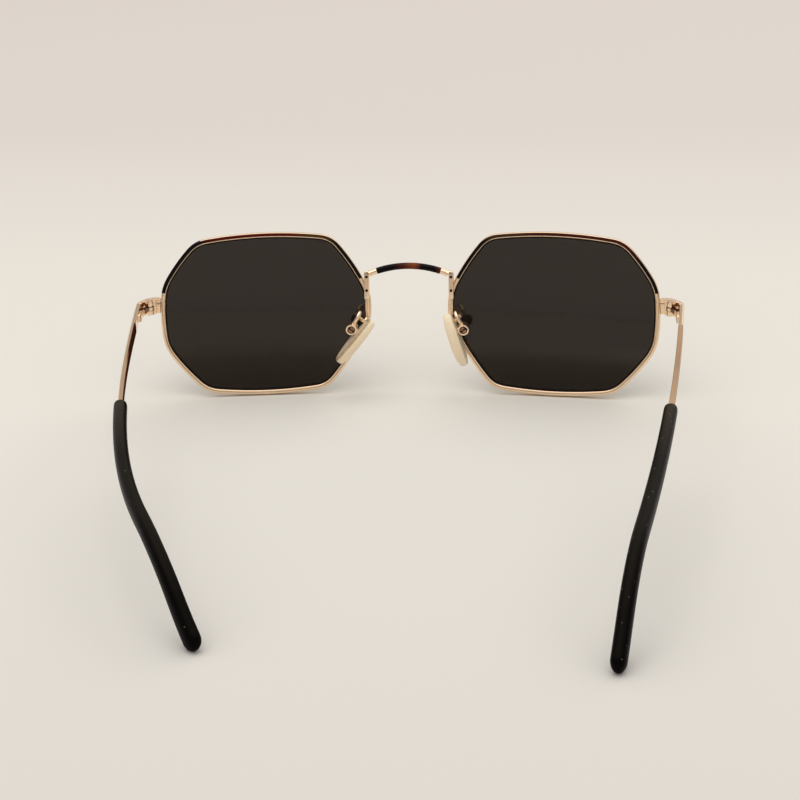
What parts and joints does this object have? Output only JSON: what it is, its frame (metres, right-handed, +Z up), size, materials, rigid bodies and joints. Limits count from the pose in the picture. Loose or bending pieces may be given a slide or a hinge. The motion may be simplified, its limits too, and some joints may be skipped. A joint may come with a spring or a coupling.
{
  "type": "sunglasses",
  "caption": "Sunglasses with a thin gold metal frame, dark eight-sided lenses, a wire bridge, nose pads on bent arms and black temple tips, open and standing on a table",
  "frame": {"origin": "middle of the outline at table height: halfway between the two temples and halfway from the front of the lenses to the back of the longer temple tip", "axes": "+X to the wearer's left, +Y from the lenses back to the ears, +Z up from the table"},
  "size_m": [0.1348, 0.149, 0.0407],
  "materials": {
    "gold": "polished pale gold plating",
    "lens": "polished, dark smoke tint",
    "tip": "satin gloss black",
    "pad": "soft, cloudy, slightly yellowed"
  },
  "bodies": {
    "front": {"rim_left": "gold", "rim_right": "gold", "lens_left": "lens", "lens_right": "lens", "bridge": "gold", "bridge_lug_left": "gold", "bridge_lug_right": "gold", "end_piece_left": "gold", "end_piece_right": "gold", "closing_block_left": "gold", "closing_block_right": "gold", "closing_ear_left": "gold", "closing_ear_right": "gold", "rim_screw_left": "gold", "rim_screw_right": "gold", "hinge_front_left": "gold", "hinge_front_right": "gold", "hinge_screw_left": "gold", "hinge_screw_right": "gold", "pad_arm_left": "gold", "pad_arm_right": "gold", "pad_box_left": "gold", "pad_box_right": "gold", "pad_screw_left": "gold", "pad_screw_right": "gold"},
    "temple_left": {"temple_bar_left": "gold", "temple_tip_left": "tip", "hinge_leaf_left": "gold"},
    "temple_right": {"temple_bar_right": "gold", "temple_tip_right": "tip", "hinge_leaf_right": "gold"},
    "pad_left": {"nose_pad_left": "pad", "pad_insert_left": "gold"},
    "pad_right": {"nose_pad_right": "pad", "pad_insert_right": "gold"}
  },
  "joints": [
    {"name": "temple_left_fold", "type": "hinge", "parent": "front", "child": "temple_left", "pos_m": [0.06423, -0.06428, 0.0237], "axis": [0, 0, 1], "range_deg": [0, 76]},
    {"name": "temple_right_fold", "type": "hinge", "parent": "front", "child": "temple_right", "pos_m": [-0.06423, -0.06428, 0.0237], "axis": [0, 0, -1], "range_deg": [0, 68]},
    {"name": "pad_left_rock", "type": "hinge", "parent": "front", "child": "pad_left", "pos_m": [0.0138, -0.06367, 0.01851], "axis": [0, 1, 0], "range_deg": [-3, 25]},
    {"name": "pad_right_rock", "type": "hinge", "parent": "front", "child": "pad_right", "pos_m": [-0.0138, -0.06367, 0.01851], "axis": [0, 1, 0], "range_deg": [-3, 25]}
  ]
}
